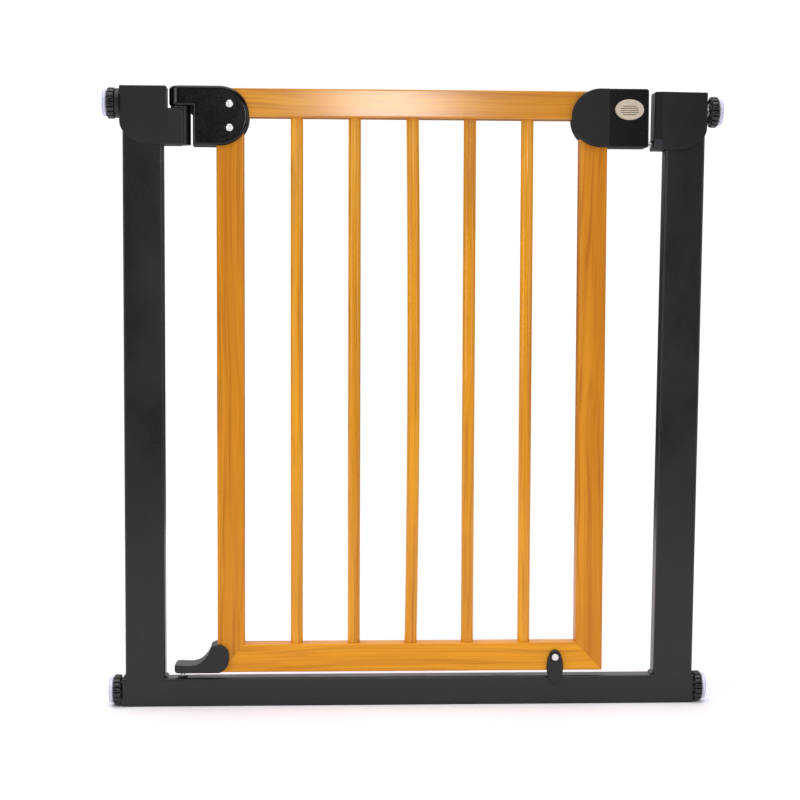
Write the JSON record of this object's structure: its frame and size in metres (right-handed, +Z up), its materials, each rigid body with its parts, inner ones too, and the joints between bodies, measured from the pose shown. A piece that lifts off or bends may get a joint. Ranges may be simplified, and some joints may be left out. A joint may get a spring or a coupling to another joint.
{
  "type": "safety baby gate",
  "caption": "Pressure-fitted safety gate: steel U-frame, barred wooden swing panel, rising hinge, push-button latch, turning stop tab and screw adjusters with wall pads.",
  "frame": {"origin": "middle of the underside of the steel bottom rail, on the floor", "axes": "+X from the hinge side to the latch side, -Y the front that the gate swings towards, +Z up"},
  "size_m": [0.7528, 0.0378, 0.7562],
  "materials": {
    "frame_steel": "satin powder coat, charcoal black",
    "black_plastic": "fine satin moulded plastic",
    "gloss_black_plastic": "smooth semi-gloss moulded plastic",
    "wheel_plastic": "semi-gloss moulded plastic",
    "keeper_plastic": "satin moulded plastic, slightly lighter",
    "stained_wood": "honey stain under satin varnish",
    "zinc_steel": "bright zinc plated",
    "button_grey": "satin warm grey",
    "clear_pad": "clear soft plastic, faint blue edge",
    "nylon": "black nylon"
  },
  "bodies": {
    "frame": {"bottom_rail": "frame_steel", "left_upright": "frame_steel", "right_upright": "frame_steel", "weld_beads": "frame_steel", "rail_end_inserts": "black_plastic", "upright_weld_nuts": "zinc_steel", "hinge_bracket": "black_plastic", "hinge_pin": "zinc_steel", "striker_bracket": "black_plastic", "latch_keeper": "keeper_plastic", "bracket_screws": "zinc_steel", "spindle_lock_collar": "black_plastic"},
    "pivot_bush": {"lower_pivot_bush": "nylon"},
    "gate": {"left_stile": "stained_wood", "right_stile": "stained_wood", "top_rail": "stained_wood", "panel_bottom_rail": "stained_wood", "bar_1": "stained_wood", "bar_2": "stained_wood", "bar_3": "stained_wood", "bar_4": "stained_wood", "bar_5": "stained_wood", "hinge_cover_front": "gloss_black_plastic", "hinge_cover_rear": "gloss_black_plastic", "hinge_cam": "black_plastic", "hinge_cover_screws": "zinc_steel", "hinge_cover_nuts": "zinc_steel", "lower_hinge_arm": "black_plastic", "lower_pivot_pin": "zinc_steel", "lower_arm_screws": "zinc_steel", "latch_housing_front": "black_plastic", "latch_housing_rear": "black_plastic", "latch_housing_screws": "zinc_steel", "bolt_spring": "zinc_steel", "button_spring": "zinc_steel", "stop_tab_screw": "zinc_steel"},
    "bolt": {"latch_bolt": "zinc_steel"},
    "button": {"release_button": "button_grey"},
    "tab": {"stop_tab": "black_plastic"},
    "pad_top_left": {"wall_pad_top_left": "clear_pad"},
    "screw_top_left": {"wheel_top_left": "wheel_plastic", "spindle_top_left": "zinc_steel"},
    "pad_top_right": {"wall_pad_top_right": "clear_pad"},
    "screw_top_right": {"wheel_top_right": "wheel_plastic", "spindle_top_right": "zinc_steel"},
    "pad_bottom_left": {"wall_pad_bottom_left": "clear_pad"},
    "screw_bottom_left": {"wheel_bottom_left": "wheel_plastic", "spindle_bottom_left": "zinc_steel"},
    "pad_bottom_right": {"wall_pad_bottom_right": "clear_pad"},
    "screw_bottom_right": {"wheel_bottom_right": "wheel_plastic", "spindle_bottom_right": "zinc_steel"}
  },
  "joints": [
    {"name": "gate_swing", "type": "hinge", "parent": "frame", "child": "pivot_bush", "pos_m": [-0.2805, 0, 0.035], "axis": [0, 0, -1], "range_deg": [0, 90]},
    {"name": "gate_lift", "type": "slide", "parent": "pivot_bush", "child": "gate", "axis": [0, 0, 1], "range_m": [0, 0.0085]},
    {"name": "button_press", "type": "slide", "parent": "gate", "child": "button", "axis": [0, 1, 0], "range_m": [0, 0.0045], "stiffness_N_per_m": 400, "springref_m": -0.004, "deforming": ["button_spring"]},
    {"name": "bolt_draw", "type": "slide", "parent": "gate", "child": "bolt", "axis": [-1, 0, 0], "range_m": [0, 0.0071], "stiffness_N_per_m": 400, "springref_m": -0.004, "deforming": ["bolt_spring"]},
    {"name": "stop_tab_turn", "type": "hinge", "parent": "gate", "child": "tab", "pos_m": [0.1784, -0.0146, 0.0591], "axis": [0, -1, 0], "range_deg": [0, 180]},
    {"name": "pad_travel_top_left", "type": "slide", "parent": "frame", "child": "pad_top_left", "axis": [-1, 0, 0], "range_m": [0, 0.03]},
    {"name": "wheel_turn_top_left", "type": "hinge", "parent": "pad_top_left", "child": "screw_top_left", "pos_m": [-0.3736, 0, 0.735], "axis": [-1, 0, 0], "range_deg": [0, 7220]},
    {"name": "pad_travel_top_right", "type": "slide", "parent": "frame", "child": "pad_top_right", "axis": [0.9999, 0, -0.0107], "range_m": [0, 0.03]},
    {"name": "wheel_turn_top_right", "type": "hinge", "parent": "pad_top_right", "child": "screw_top_right", "pos_m": [0.37907, 0, 0.73021], "axis": [0.9999, 0, -0.0107], "range_deg": [0, 7220]},
    {"name": "pad_travel_bottom_left", "type": "slide", "parent": "frame", "child": "pad_bottom_left", "axis": [-1, 0, 0], "range_m": [0, 0.03]},
    {"name": "wheel_turn_bottom_left", "type": "hinge", "parent": "pad_bottom_left", "child": "screw_bottom_left", "pos_m": [-0.3698, 0, 0.019], "axis": [-1, 0, 0], "range_deg": [0, 7220]},
    {"name": "pad_travel_bottom_right", "type": "slide", "parent": "frame", "child": "pad_bottom_right", "axis": [1, 0, 0], "range_m": [0, 0.03]},
    {"name": "wheel_turn_bottom_right", "type": "hinge", "parent": "pad_bottom_right", "child": "screw_bottom_right", "pos_m": [0.3676, 0, 0.019], "axis": [1, 0, 0], "range_deg": [0, 7220]}
  ],
  "couplings": [
    {"joint": "gate_lift", "follows": "gate_swing", "m_per_rad": 0.0052},
    {"joint": "bolt_draw", "follows": "button_press", "ratio": 1.5556},
    {"joint": "wheel_turn_top_left", "follows": "pad_travel_top_left", "rad_per_m": 4188.8},
    {"joint": "wheel_turn_top_right", "follows": "pad_travel_top_right", "rad_per_m": 4188.8},
    {"joint": "wheel_turn_bottom_left", "follows": "pad_travel_bottom_left", "rad_per_m": 4188.8},
    {"joint": "wheel_turn_bottom_right", "follows": "pad_travel_bottom_right", "rad_per_m": 4188.8}
  ]
}
